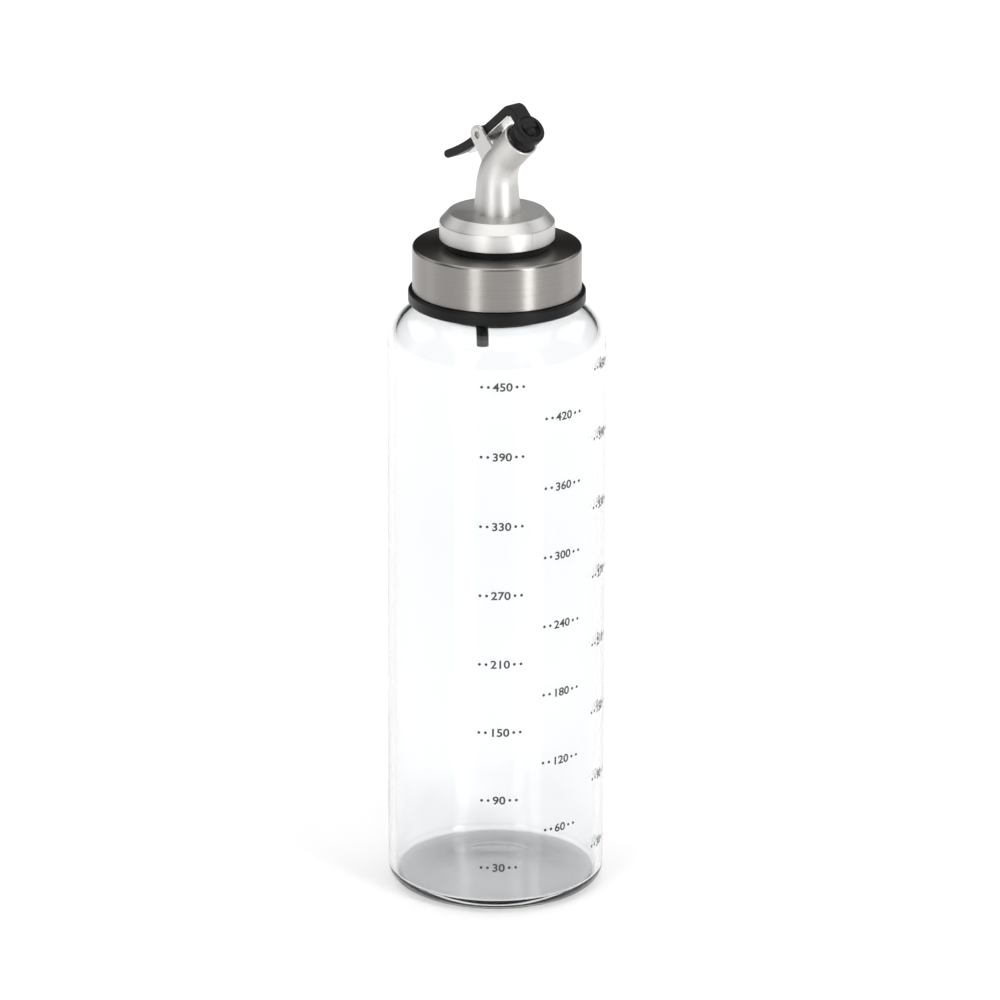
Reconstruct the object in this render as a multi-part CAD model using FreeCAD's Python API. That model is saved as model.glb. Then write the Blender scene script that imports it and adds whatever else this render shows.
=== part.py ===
"""Glass oil bottle with a screw cap and a lever pourer, one STEP file per piece.

Millimetres. The origin is the middle of the bottle's foot, on the surface it stands on. +Z is up,
+X is the way the spout points and the lever's pin lies along Y.
"""

import FreeCAD, Part
import os
from math import acos, asin, cos, degrees, radians, sin, sqrt

V = FreeCAD.Vector

# --- driving dimensions ---------------------------------------------------------------------

# bottle
BODY_R = 32.0  # outside radius of the glass
GLASS_WALL = 2.0
FOOT_GLASS = 3.4  # glass under the oil, beside the push-up
SHOULDER_Z = 166.7  # where the straight wall ends
SHOULDER_BEND = 12.4  # outer radius of the shoulder's bend
HEEL_BEND = 5.0  # outer radius between foot and wall
PUSH_UP = 2.0  # depth of the hollow under the foot
FOOT_RING_W = 4.5  # flat width of the foot's ring, from the heel inwards
NECK_R = 21.4  # outside radius of the neck, at the thread's root
NECK_WALL = 2.9
NECK_LENGTH = 13.6  # shoulder top to rim
LIP_BEND = 0.9  # rounding of the rim

# screw thread
THREAD_PITCH = 4.0
THREAD_TURNS = 1.4
THREAD_DEPTH = 1.15
THREAD_BASE_W = 1.9  # width at the root
THREAD_CREST_W = 0.8  # width at the crest
THREAD_CLEAR = 0.4  # crest to opposite root
THREAD_SUNK = 0.3  # how far the ridge is let into its wall
THREAD_DROP = 0.4  # lip's rounding to the end of the ridge

# screw cap
INSERT_WALL = 1.2  # plastic between the thread's root and the shell
SHELL_H = 13.2
SHELL_WALL = 0.5
SHELL_EDGE = 0.8  # rounding of the shell's upper edge
RING_LEDGE = 1.2  # black ring's reach beyond the shell
RING_H = 3.8
RING_GAP = 0.7  # shoulder top to the ring
RING_BEND = 0.6  # rounding of its outer edges
CAP_TOP_WALL = 2.0  # insert's top plate
SEAL_H = 1.3
SEAL_SETBACK = 0.2  # seal's bore beyond the neck's
GLUE_GAP = 0.05  # between pieces pressed or glued together

# cork
CORK_FIT = 0.05  # radial gap to the cap's hole
CORK_WALL = 1.44  # rubber between the ribs
CORK_RIB_OUT = 0.8  # how far the ribs stand out
CORK_FLANGE_OUT = 1.25  # flange's reach beyond the cap's hole
CORK_FLANGE_SEEN = 2.2  # height seen between shell and collar
CORK_LENGTH = 13.4  # plug below the flange
CORK_RIBS = 3
CORK_RIB_H = 1.6
CORK_RIB_ROOT = 0.3  # how far a rib starts inside the core
CORK_SHOULDER = 0.4  # full width reaches this far below the cap's hole
FLANGE_FIT = 0.3  # radial gap between flange and collar

# pourer
SKIRT_WALL = 1.2
SKIRT_DEPTH = 3.0  # recess for the cork's flange
COLLAR_TOP_WALL = 5.0  # solid metal over the cork's flange
CHAMFER_H = 2.9
CHAMFER_W = 2.6
STEM_R = 11.7
STEM_WALL = 0.7
STEM_LENGTH = 16.0
STEM_FIT = 0.06  # radial gap between stem and cork
SPOUT_BORE_FOOT_R = 5.0
SPOUT_BORE_MOUTH_R = 4.5
SPOUT_FOOT_WALL = 1.85
SPOUT_WAIST_WALL = 0.45  # at the end of the bend
SPOUT_MOUTH_WALL = 0.8
SPOUT_RISE = 7.8  # straight part above the collar
SPOUT_BEND = 14.1  # radius of the centre-line
SPOUT_TILT = 45.0  # degrees turned from upright
SPOUT_NOSE = 8.6  # straight part behind the mouth
SPOUT_LIP = 0.35  # rounding of the mouth's outer edge
SPIGOT_WALL = 1.0
SPIGOT_SHORT = 1.0  # spigot stops this far above the cork's flange
VENT_R = 1.75
VENT_BORE_R = 1.25
VENT_LENGTH = 43.0
VENT_CLEAR = 0.15  # to the stem's inside
VENT_BEARING = 164.0  # degrees round from +X

# lever and its ears
PIN_BACK = 14.67  # behind the middle of the mouth
PIN_DROP = 1.26  # below the middle of the mouth
PIN_R = 1.0
PIN_FIT = 0.05  # radial gap in the lever
PIN_SUNK = 0.4  # pin's end below the ear's face
EAR_R = 2.75
EAR_WALL = 1.2
EAR_CLEAR = 0.2  # each side of the lever
EAR_FRONT_SLOPE = 45.0  # degrees below the horizontal
EAR_BACK_SLOPE = 53.0
EAR_LENGTH = 10.5
LEVER_W = 5.2
LEVER_T = 2.65
LEVER_SLOPE = 40.7  # arm's rise, degrees
LEVER_HUB_R = 2.3
ELBOW_BEND = 3.0
HEAD_GAP = 3.1  # mouth's rim to the back of the head
HEAD_LEDGE = 0.45  # head's reach beyond the plug
HEAD_RECESS_R = 3.1
HEAD_RECESS = 1.3
TAIL_LENGTH = 17.3
TAIL_BEND = 58.0  # radius of the tail's middle line
TAIL_TIP_T = 2.5

# stopper plug
PLUG_CLEAR = 0.3  # ribs to the radius of the mouth's bore
PLUG_RIB_OUT = 0.6
PLUG_RIBS = 3
PLUG_RIB_SHARE = 0.66  # rib's height as a share of the pitch
PLUG_STANDOFF = 0.2  # mouth's rim to the first rib
PLUG_NOSE = 1.1  # depth inside the mouth
PLUG_NOSE_TAPER = 1.1  # core's radius less the nose's
PLUG_SHANK_R = 1.6
PLUG_BUTTON_R = 2.1
PLUG_BUTTON_H = 0.8

# leaf spring
LEAF_T = 0.4
LEAF_W = 5.0
LEAF_TAIL = 8.6  # run under the tail, from the pin
LEAF_DROP = 0.2  # tail run's step below the arm run
LEAF_SHORT = 0.6  # arm run stops short of the head
LEAF_LAP = 1.0  # where both runs meet the hub, from the pin
TONGUE_W = 2.6
TONGUE_ROOT = -100.0  # bearing of its root about the pin, degrees up from +X
TONGUE_BOW = 0.8  # how far the tongue bulges to the rear
TONGUE_TOUCH = 0.4  # where it meets the spout, as a share of the bend

# --- levels and places worked out from them -------------------------------------------------

SHOULDER_MID_R = BODY_R - SHOULDER_BEND
SHOULDER_END_R = max(NECK_R, SHOULDER_MID_R)  # where the bend meets the neck or goes flat
SHOULDER_TOP_Z = SHOULDER_Z + sqrt(SHOULDER_BEND**2 - (SHOULDER_END_R - SHOULDER_MID_R) ** 2)
RIM_Z = SHOULDER_TOP_Z + NECK_LENGTH
THREAD_Z = RIM_Z - LIP_BEND - THREAD_BASE_W / 2 - THREAD_DROP - THREAD_PITCH * THREAD_TURNS
NECK_BORE_R = NECK_R - NECK_WALL
RING_Z = SHOULDER_TOP_Z + RING_GAP
SHELL_Z = RING_Z + RING_H
SHELL_TOP_Z = SHELL_Z + SHELL_H
INSERT_TOP_Z = SHELL_TOP_Z - SHELL_WALL - GLUE_GAP
INSERT_PLATE_Z = INSERT_TOP_Z - CAP_TOP_WALL
INSERT_BORE_R = NECK_R + THREAD_DEPTH + THREAD_CLEAR
INSERT_R = INSERT_BORE_R + INSERT_WALL
SHELL_R = INSERT_R + GLUE_GAP + SHELL_WALL
RING_R = SHELL_R + RING_LEDGE
SEAL_TOP_Z = INSERT_PLATE_Z - GLUE_GAP
SEAL_Z = SEAL_TOP_Z - SEAL_H

FLANGE_Z = SHELL_TOP_Z + GLUE_GAP
COLLAR_Z = SHELL_TOP_Z + CORK_FLANGE_SEEN
COLLAR_CEILING_Z = COLLAR_Z + SKIRT_DEPTH
COLLAR_TOP_Z = COLLAR_CEILING_Z + COLLAR_TOP_WALL
CORK_BORE_R = STEM_R + STEM_FIT
CORK_CORE_R = CORK_BORE_R + CORK_WALL
CORK_R = CORK_CORE_R + CORK_RIB_OUT
CAP_HOLE_R = CORK_R + CORK_FIT
CORK_FLANGE_R = CAP_HOLE_R + CORK_FLANGE_OUT
COLLAR_R = CORK_FLANGE_R + FLANGE_FIT + SKIRT_WALL
SPIGOT_R = SPOUT_BORE_FOOT_R + SPIGOT_WALL
SPIGOT_H = COLLAR_TOP_WALL - SPIGOT_SHORT
VENT_OFFSET = STEM_R - STEM_WALL - VENT_CLEAR - VENT_R
EAR_SPREAD = LEVER_W / 2 + EAR_CLEAR + EAR_WALL  # half the width over both ears
PLUG_R = SPOUT_BORE_MOUTH_R - PLUG_CLEAR
PLUG_CORE_R = PLUG_R - PLUG_RIB_OUT
HEAD_R = PLUG_R + HEAD_LEDGE


def polar(angle):
    """Unit vector in the XZ plane, angle in degrees up from +X."""
    return V(cos(radians(angle)), 0, sin(radians(angle)))


MOUTH_AXIS = polar(90.0 - SPOUT_TILT)
BEND_LENGTH = SPOUT_BEND * radians(SPOUT_TILT)
SPOUT_LENGTH = SPOUT_RISE + BEND_LENGTH + SPOUT_NOSE
BEND_START_Z = COLLAR_TOP_Z + SPOUT_RISE
BEND_MID = V(SPOUT_BEND, 0, BEND_START_Z)
BEND_END = BEND_MID + polar(180.0 - SPOUT_TILT) * SPOUT_BEND
MOUTH_AT = BEND_END + MOUTH_AXIS * SPOUT_NOSE
PIN_AT = MOUTH_AT - V(PIN_BACK, 0, PIN_DROP)

# --- helpers --------------------------------------------------------------------------------


def disc(radius, z0, z1):
    """Upright cylinder between two levels."""
    return Part.makeCylinder(radius, z1 - z0, V(0, 0, z0))


def washer(r_out, r_in, z0, z1):
    return disc(r_out, z0, z1).cut(disc(r_in, z0 - 1.0, z1 + 1.0))


def turned(points, arcs=()):
    """Solid of revolution about Z from (r, z) points. arcs maps the number of a side to the point
    that its arc passes through."""
    arcs = dict(arcs)
    corners = [V(r, 0, z) for r, z in points]
    edges = []
    for i, start in enumerate(corners):
        end = corners[(i + 1) % len(corners)]
        if start.isEqual(end, 1e-9):
            continue
        if i in arcs:
            r, z = arcs[i]
            edges.append(Part.Arc(start, V(r, 0, z), end).toShape())
        else:
            edges.append(Part.LineSegment(start, end).toShape())
    face = Part.Face(Part.Wire(edges))
    return face.revolve(V(0, 0, 0), V(0, 0, 1), 360)


def corner_arc(centre_r, centre_z, radius, angle):
    """Point on a circle in the (r, z) half plane."""
    return centre_r + radius * cos(radians(angle)), centre_z + radius * sin(radians(angle))


def dome_arc(edge_r, edge_z, pole_z):
    """Middle point of the arc from a rim to a pole, with its centre on the Z axis."""
    rise = pole_z - edge_z
    radius = (edge_r**2 + rise**2) / (2.0 * rise)
    half = asin(edge_r / radius) / 2.0
    return radius * sin(half), pole_z - radius + radius * cos(half)


def plate(outline, thickness, y_mid=0.0):
    """Slab of a closed wire in the XZ plane, thickness along Y."""
    flat = Part.Face(outline)
    flat.translate(V(0, y_mid - thickness / 2.0, 0))
    return flat.extrude(V(0, thickness, 0))


def cross_pin(radius, length, at):
    """Cylinder along Y, centred on a point."""
    return Part.makeCylinder(radius, length, at - V(0, length / 2.0, 0), V(0, 1, 0))


def on_axis(shape, at, axis):
    """Moves a shape made on the Z axis so that its origin is at a point and +Z along an axis."""
    shape.Placement = FreeCAD.Placement(at, FreeCAD.Rotation(V(0, 0, 1), axis))
    return shape


def thread(root_r, depth, z_start, inward):
    """Helical ridge, sunk a little into the wall it stands on."""
    side = -1.0 if inward else 1.0
    sunk = root_r - side * THREAD_SUNK
    crest = root_r + side * depth
    half_base = THREAD_BASE_W / 2.0
    half_crest = THREAD_CREST_W / 2.0
    corners = [
        V(sunk, 0, z_start - half_base),
        V(crest, 0, z_start - half_crest),
        V(crest, 0, z_start + half_crest),
        V(sunk, 0, z_start + half_base),
    ]
    profile = Part.makePolygon(corners + corners[:1])
    helix = Part.makeHelix(THREAD_PITCH, THREAD_PITCH * THREAD_TURNS, root_r)
    helix.translate(V(0, 0, z_start))
    return Part.Wire(helix.Edges).makePipeShell([profile], True, True)


# --- bottle ---------------------------------------------------------------------------------


def glass_bottle():
    inner_r = BODY_R - GLASS_WALL
    heel_in = HEEL_BEND - GLASS_WALL
    bend_in = SHOULDER_BEND - GLASS_WALL
    end_in_r = max(NECK_BORE_R, SHOULDER_MID_R)
    end_in_z = SHOULDER_Z + sqrt(bend_in**2 - (end_in_r - SHOULDER_MID_R) ** 2)
    hollow_r = BODY_R - HEEL_BEND - FOOT_RING_W
    floor_z = FOOT_GLASS
    dome_z = FOOT_GLASS + PUSH_UP
    heel_mid = BODY_R - HEEL_BEND
    turn = degrees(acos((SHOULDER_END_R - SHOULDER_MID_R) / SHOULDER_BEND))
    turn_in = degrees(acos((end_in_r - SHOULDER_MID_R) / bend_in))
    points = [
        (0, PUSH_UP),
        (hollow_r, 0),
        (heel_mid, 0),
        (BODY_R, HEEL_BEND),
        (BODY_R, SHOULDER_Z),
        (SHOULDER_END_R, SHOULDER_TOP_Z),
        (NECK_R, SHOULDER_TOP_Z),
        (NECK_R, RIM_Z - LIP_BEND),
        (NECK_R - LIP_BEND, RIM_Z),
        (NECK_BORE_R + LIP_BEND, RIM_Z),
        (NECK_BORE_R, RIM_Z - LIP_BEND),
        (NECK_BORE_R, end_in_z),
        (end_in_r, end_in_z),
        (inner_r, SHOULDER_Z),
        (inner_r, floor_z + heel_in),
        (inner_r - heel_in, floor_z),
        (0, dome_z),
    ]
    arcs = {
        0: dome_arc(hollow_r, 0.0, PUSH_UP),
        2: corner_arc(heel_mid, HEEL_BEND, HEEL_BEND, -45),
        4: corner_arc(SHOULDER_MID_R, SHOULDER_Z, SHOULDER_BEND, turn / 2),
        7: corner_arc(NECK_R - LIP_BEND, RIM_Z - LIP_BEND, LIP_BEND, 45),
        9: corner_arc(NECK_BORE_R + LIP_BEND, RIM_Z - LIP_BEND, LIP_BEND, 135),
        12: corner_arc(SHOULDER_MID_R, SHOULDER_Z, bend_in, turn_in / 2),
        14: corner_arc(inner_r - heel_in, floor_z + heel_in, heel_in, -45),
        15: dome_arc(inner_r - heel_in, floor_z, dome_z),
    }
    bottle = turned(points, arcs)
    return bottle.fuse(thread(NECK_R, THREAD_DEPTH, THREAD_Z, False))


# --- screw cap ------------------------------------------------------------------------------


def neck_seal():
    return washer(NECK_R + THREAD_DEPTH, NECK_BORE_R + SEAL_SETBACK, SEAL_Z, SEAL_TOP_Z)


def cap_sleeve():
    inner_r = SHELL_R - SHELL_WALL
    edge_r = SHELL_R - SHELL_EDGE
    edge_z = SHELL_TOP_Z - SHELL_EDGE
    edge_in = SHELL_EDGE - SHELL_WALL
    hole_r = CAP_HOLE_R + SHELL_WALL
    points = [
        (inner_r, SHELL_Z),
        (SHELL_R, SHELL_Z),
        (SHELL_R, edge_z),
        (edge_r, SHELL_TOP_Z),
        (hole_r, SHELL_TOP_Z),
        (hole_r, SHELL_TOP_Z - SHELL_WALL),
        (edge_r, SHELL_TOP_Z - SHELL_WALL),
        (inner_r, edge_z),
    ]
    arcs = {
        2: corner_arc(edge_r, edge_z, SHELL_EDGE, 45),
        6: corner_arc(edge_r, edge_z, edge_in, 45),
    }
    return turned(points, arcs)


def cap_insert():
    edge = SHELL_EDGE - SHELL_WALL + GLUE_GAP
    points = [
        (INSERT_BORE_R, RING_Z),
        (INSERT_R, RING_Z),
        (INSERT_R, INSERT_TOP_Z - edge),
        (INSERT_R - edge, INSERT_TOP_Z),
        (CAP_HOLE_R, INSERT_TOP_Z),
        (CAP_HOLE_R, INSERT_PLATE_Z),
        (INSERT_BORE_R, INSERT_PLATE_Z),
    ]
    insert = turned(points)
    between_turns = THREAD_Z - THREAD_PITCH / 2
    return insert.fuse(thread(INSERT_BORE_R, THREAD_DEPTH, between_turns, True))


def cap_ring():
    ring = washer(RING_R, INSERT_R + GLUE_GAP, RING_Z, SHELL_Z - GLUE_GAP)
    round_edges = [e for e in ring.Edges if hasattr(e.Curve, "Radius")]
    outer = [e for e in round_edges if abs(e.Curve.Radius - RING_R) < 1e-6]
    return ring.makeFillet(RING_BEND, outer)


# --- cork -----------------------------------------------------------------------------------


def stopper_cork():
    flange_top = COLLAR_CEILING_Z - GLUE_GAP
    shank_end = FLANGE_Z - CORK_LENGTH
    hole_end = INSERT_PLATE_Z - CORK_SHOULDER
    cork = disc(CORK_FLANGE_R, FLANGE_Z, flange_top)
    cork = cork.fuse(disc(CORK_R, hole_end, FLANGE_Z))
    cork = cork.fuse(disc(CORK_CORE_R, shank_end, hole_end))
    pitch = (hole_end - shank_end) / CORK_RIBS
    for i in range(CORK_RIBS):
        z = shank_end + i * pitch
        rib = Part.makeCone(CORK_CORE_R - CORK_RIB_ROOT, CORK_R, CORK_RIB_H, V(0, 0, z))
        cork = cork.fuse(rib)
    return cork.cut(disc(CORK_BORE_R, shank_end - 1, flange_top + 1))


# --- pourer ---------------------------------------------------------------------------------


def vent_at(z):
    angle = radians(VENT_BEARING)
    return V(VENT_OFFSET * cos(angle), VENT_OFFSET * sin(angle), z)


def base_collar():
    recess_r = CORK_FLANGE_R + FLANGE_FIT
    stem_end = COLLAR_CEILING_Z - STEM_LENGTH
    stem_in = STEM_R - STEM_WALL
    bore_r = SPIGOT_R + GLUE_GAP
    points = [
        (bore_r, COLLAR_CEILING_Z),
        (stem_in, COLLAR_CEILING_Z),
        (stem_in, stem_end),
        (STEM_R, stem_end),
        (STEM_R, COLLAR_CEILING_Z),
        (recess_r, COLLAR_CEILING_Z),
        (recess_r, COLLAR_Z),
        (COLLAR_R, COLLAR_Z),
        (COLLAR_R, COLLAR_TOP_Z - CHAMFER_H),
        (COLLAR_R - CHAMFER_W, COLLAR_TOP_Z),
        (bore_r, COLLAR_TOP_Z),
    ]
    collar = turned(points)
    vent = Part.makeCylinder(VENT_R + GLUE_GAP, COLLAR_TOP_WALL + 2, vent_at(COLLAR_CEILING_Z - 1))
    return collar.cut(vent)


def vent_tube():
    low = COLLAR_TOP_Z - VENT_LENGTH
    tube = Part.makeCylinder(VENT_R, VENT_LENGTH, vent_at(low))
    return tube.cut(Part.makeCylinder(VENT_BORE_R, VENT_LENGTH + 2, vent_at(low - 1)))


def spout_station(distance):
    """Point and direction on the spout's centre-line, measured from the collar's top."""
    if distance <= SPOUT_RISE:
        return V(0, 0, COLLAR_TOP_Z + distance), V(0, 0, 1)
    if distance <= SPOUT_RISE + BEND_LENGTH:
        turn = degrees((distance - SPOUT_RISE) / SPOUT_BEND)
        return BEND_MID + polar(180.0 - turn) * SPOUT_BEND, polar(90.0 - turn)
    return BEND_END + MOUTH_AXIS * (distance - SPOUT_RISE - BEND_LENGTH), MOUTH_AXIS


def bore_radius(distance):
    return SPOUT_BORE_FOOT_R + (SPOUT_BORE_MOUTH_R - SPOUT_BORE_FOOT_R) * distance / SPOUT_LENGTH


def spout_radius(distance):
    """Outside radius: the wall thins to the end of the bend and thickens again to the mouth."""
    waist = SPOUT_RISE + BEND_LENGTH
    if distance <= waist:
        wall = SPOUT_FOOT_WALL + (SPOUT_WAIST_WALL - SPOUT_FOOT_WALL) * distance / waist
    else:
        wall = SPOUT_WAIST_WALL + (SPOUT_MOUTH_WALL - SPOUT_WAIST_WALL) * (distance - waist) / SPOUT_NOSE
    return bore_radius(distance) + wall


def spout_body(radius_at, below, beyond):
    """Bent rod through circles along the centre-line, run on straight past both ends."""
    steps = 14
    rings = []
    for i in range(steps + 1):
        distance = SPOUT_LENGTH * i / steps
        at, along = spout_station(distance)
        if i == 0:
            at = at - along * below
        if i == steps:
            at = at + along * beyond
        rings.append(Part.Wire(Part.makeCircle(radius_at(distance), at, along)))
    return Part.makeLoft(rings, True, False)


def ear_outline():
    """Round top about the pin, with two straight sides that run down into the spout."""
    front = polar(-EAR_FRONT_SLOPE)
    back = polar(-EAR_BACK_SLOPE)
    front_out = polar(90.0 - EAR_FRONT_SLOPE) * EAR_R
    back_out = polar(-90.0 - EAR_BACK_SLOPE) * EAR_R
    crown = polar(180.0 - (EAR_FRONT_SLOPE + EAR_BACK_SLOPE) / 2.0) * EAR_R
    front_top = PIN_AT + front_out
    back_top = PIN_AT + back_out
    front_low = front_top + front * EAR_LENGTH
    back_low = back_top + back * EAR_LENGTH
    edges = [
        Part.Arc(back_top, PIN_AT + crown, front_top).toShape(),
        Part.LineSegment(front_top, front_low).toShape(),
        Part.LineSegment(front_low, back_low).toShape(),
        Part.LineSegment(back_low, back_top).toShape(),
    ]
    return Part.Wire(edges)


def spout():
    body = spout_body(spout_radius, 0.0, 0.0)
    rim = [e for e in body.Edges if (e.CenterOfMass - MOUTH_AT).Length < 1.0]
    body = body.makeFillet(SPOUT_LIP, rim)
    y_ear = EAR_SPREAD - EAR_WALL / 2.0
    for side in (-1, 1):
        body = body.fuse(plate(ear_outline(), EAR_WALL, side * y_ear))
    body = body.fuse(disc(SPIGOT_R, COLLAR_TOP_Z - SPIGOT_H, COLLAR_TOP_Z + 1.0))
    bore = spout_body(bore_radius, SPIGOT_H + 1.0, 1.0)
    body = body.cut(bore)
    return body.cut(cross_pin(PIN_R, 4 * EAR_SPREAD, PIN_AT))


def pivot_pin():
    return cross_pin(PIN_R, 2 * (EAR_SPREAD - PIN_SUNK), PIN_AT)


# --- lever ----------------------------------------------------------------------------------

ARM = polar(LEVER_SLOPE)
ARM_UP = polar(LEVER_SLOPE + 90.0)
HEAD_BACK = MOUTH_AT + MOUTH_AXIS * HEAD_GAP
HEAD_FRONT = HEAD_BACK + MOUTH_AXIS * LEVER_T


def meet_head(offset, on_head):
    """Where a line along the arm, offset from the pin, meets the plane of the head at a point."""
    start = PIN_AT + ARM_UP * offset
    reach = (on_head - start).dot(MOUTH_AXIS) / ARM.dot(MOUTH_AXIS)
    return start + ARM * reach


def tail_point(distance, offset):
    """Point beside the tail's middle line, measured back from the pin."""
    turn = degrees(distance / TAIL_BEND)
    centre = PIN_AT + ARM_UP * TAIL_BEND
    return centre - polar(LEVER_SLOPE + 90.0 - turn) * (TAIL_BEND - offset)


def lever_outline():
    half = LEVER_T / 2.0
    tip = TAIL_TIP_T / 2.0
    low_tip, high_tip = tail_point(TAIL_LENGTH, -tip), tail_point(TAIL_LENGTH, tip)
    down_head = polar(-SPOUT_TILT)
    outer = meet_head(half, HEAD_FRONT)
    inner = meet_head(-half, HEAD_BACK)
    bend = ELBOW_BEND
    corner_in = outer - ARM * bend
    corner_out = outer + down_head * bend
    corner_mid = outer + (down_head - ARM) * (bend * (1.0 - sqrt(0.5)))
    edges = [
        Part.Arc(high_tip, tail_point(TAIL_LENGTH / 2, half), PIN_AT + ARM_UP * half),
        Part.LineSegment(PIN_AT + ARM_UP * half, corner_in),
        Part.Arc(corner_in, corner_mid, corner_out),
        Part.LineSegment(corner_out, HEAD_FRONT),
        Part.LineSegment(HEAD_FRONT, HEAD_BACK),
        Part.LineSegment(HEAD_BACK, inner),
        Part.LineSegment(inner, PIN_AT - ARM_UP * half),
        Part.Arc(PIN_AT - ARM_UP * half, tail_point(TAIL_LENGTH / 2, -half), low_tip),
        Part.Arc(low_tip, tail_point(TAIL_LENGTH + tip, 0), high_tip),
    ]
    return Part.Wire([e.toShape() for e in edges])


def lever():
    body = plate(lever_outline(), LEVER_W)
    body = body.fuse(cross_pin(LEVER_HUB_R, LEVER_W, PIN_AT))
    head = on_axis(Part.makeCylinder(HEAD_R, LEVER_T), HEAD_BACK, MOUTH_AXIS)
    body = body.fuse(head)
    recess = Part.makeCylinder(HEAD_RECESS_R, LEVER_T, V(0, 0, LEVER_T - HEAD_RECESS))
    recess = recess.fuse(Part.makeCylinder(PLUG_SHANK_R + GLUE_GAP, 3 * LEVER_T, V(0, 0, -LEVER_T)))
    body = body.cut(on_axis(recess, HEAD_BACK, MOUTH_AXIS))
    return body.cut(cross_pin(PIN_R + PIN_FIT, 2 * LEVER_W, PIN_AT))


def stopper_plug():
    """Ribbed plug on the mouth's axis, made with the rim at z = 0."""
    base_z = HEAD_GAP - GLUE_GAP
    floor_z = HEAD_GAP + LEVER_T - HEAD_RECESS
    low = PLUG_STANDOFF
    rib_pitch = base_z / PLUG_RIBS
    plug = Part.makeCylinder(PLUG_CORE_R, base_z - low, V(0, 0, low))
    for i in range(PLUG_RIBS):
        at = V(0, 0, low + i * rib_pitch)
        plug = plug.fuse(Part.makeCylinder(PLUG_R, rib_pitch * PLUG_RIB_SHARE, at))
    nose_r = PLUG_CORE_R - PLUG_NOSE_TAPER
    plug = plug.fuse(Part.makeCone(nose_r, PLUG_CORE_R, PLUG_NOSE + low, V(0, 0, -PLUG_NOSE)))
    plug = plug.fuse(Part.makeCylinder(PLUG_SHANK_R, floor_z, V(0, 0, 0)))
    plug = plug.fuse(Part.makeCylinder(PLUG_BUTTON_R, PLUG_BUTTON_H, V(0, 0, floor_z + GLUE_GAP)))
    plug = plug.fuse(Part.makeCylinder(PLUG_SHANK_R, PLUG_BUTTON_H, V(0, 0, floor_z)))
    return on_axis(plug, MOUTH_AT, MOUTH_AXIS)


def lever_box(along, up, width):
    """Slab beside the pin, from its spans along the arm and across it."""
    (a0, a1), (u0, u1) = along, up
    corners = [PIN_AT + ARM * a + ARM_UP * u for a, u in ((a0, u0), (a1, u0), (a1, u1), (a0, u1))]
    return plate(Part.makePolygon(corners + corners[:1]), width)


def bowed_strip(start, mid, end, thickness, width):
    """Curved strip with its middle surface on an arc through three points."""
    circle = Part.Arc(start, mid, end).toShape().Curve
    centre, radius = circle.Center, circle.Radius
    sides = []
    for edge_r in (radius - thickness / 2.0, radius + thickness / 2.0):
        sides.append([centre + (p - centre) * (edge_r / radius) for p in (start, mid, end)])
    inner, outer = sides
    edges = [
        Part.Arc(*inner),
        Part.LineSegment(inner[2], outer[2]),
        Part.Arc(outer[2], outer[1], outer[0]),
        Part.LineSegment(outer[0], inner[0]),
    ]
    return plate(Part.Wire([e.toShape() for e in edges]), width)


def lever_spring():
    """Strip under the arm that wraps the hub and runs on under the tail, with a tongue that
    reaches down to the spout's back."""
    top = -LEVER_T / 2.0 - GLUE_GAP
    hub_in = LEVER_HUB_R + GLUE_GAP
    hub_out = hub_in + LEAF_T
    reach = (meet_head(top, HEAD_BACK) - PIN_AT).dot(ARM) - LEAF_SHORT
    strip = cross_pin(hub_out, LEAF_W, PIN_AT)
    strip = strip.common(lever_box((-2 * hub_out, 2 * hub_out), (-2 * hub_out, top), LEAF_W))
    strip = strip.fuse(lever_box((LEAF_LAP, reach), (top - LEAF_T, top), LEAF_W))
    low = top - LEAF_DROP
    strip = strip.fuse(lever_box((-LEAF_TAIL, -LEAF_LAP), (low - LEAF_T, low), LEAF_W))

    touch = SPOUT_RISE + TONGUE_TOUCH * BEND_LENGTH
    at, along = spout_station(touch)
    spout_r = spout_radius(touch)
    back = V(-along.z, 0, along.x)
    tip = at + back * (spout_r + LEAF_T / 2.0 + GLUE_GAP)
    root = PIN_AT + polar(TONGUE_ROOT) * (hub_in + LEAF_T / 2.0)
    mid = (root + tip) * 0.5 - V(TONGUE_BOW, 0, 0)
    strip = strip.fuse(bowed_strip(root, mid, tip, LEAF_T, TONGUE_W))
    return strip.cut(cross_pin(hub_in, 2 * LEAF_W, PIN_AT))


PIECES = {
    "glass_bottle": glass_bottle,
    "neck_seal": neck_seal,
    "cap_sleeve": cap_sleeve,
    "cap_insert": cap_insert,
    "cap_ring": cap_ring,
    "stopper_cork": stopper_cork,
    "base_collar": base_collar,
    "spout": spout,
    "vent_tube": vent_tube,
    "pivot_pin": pivot_pin,
    "lever": lever,
    "stopper_plug": stopper_plug,
    "lever_spring": lever_spring,
}

os.makedirs("parts", exist_ok=True)
for name, make in PIECES.items():
    shape = make().removeSplitter()
    shape.exportStep(os.path.join("parts", name + ".step"))
    box = shape.BoundBox
    print(f"{name}: solids {len(shape.Solids)} valid {shape.isValid()} volume {shape.Volume:.1f}"
          f" z {box.ZMin:.2f}..{box.ZMax:.2f} x {box.XMin:.2f}..{box.XMax:.2f}")
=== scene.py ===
"""Glass oil bottle with a steel screw cap and a lever pourer, dressed over its CAD frame."""

from math import acos, cos, degrees, pi, radians, sin

import bmesh
import bpy
from bpy.props import FloatProperty, FloatVectorProperty, IntProperty, PointerProperty
from mathutils import Matrix, Vector


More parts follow.
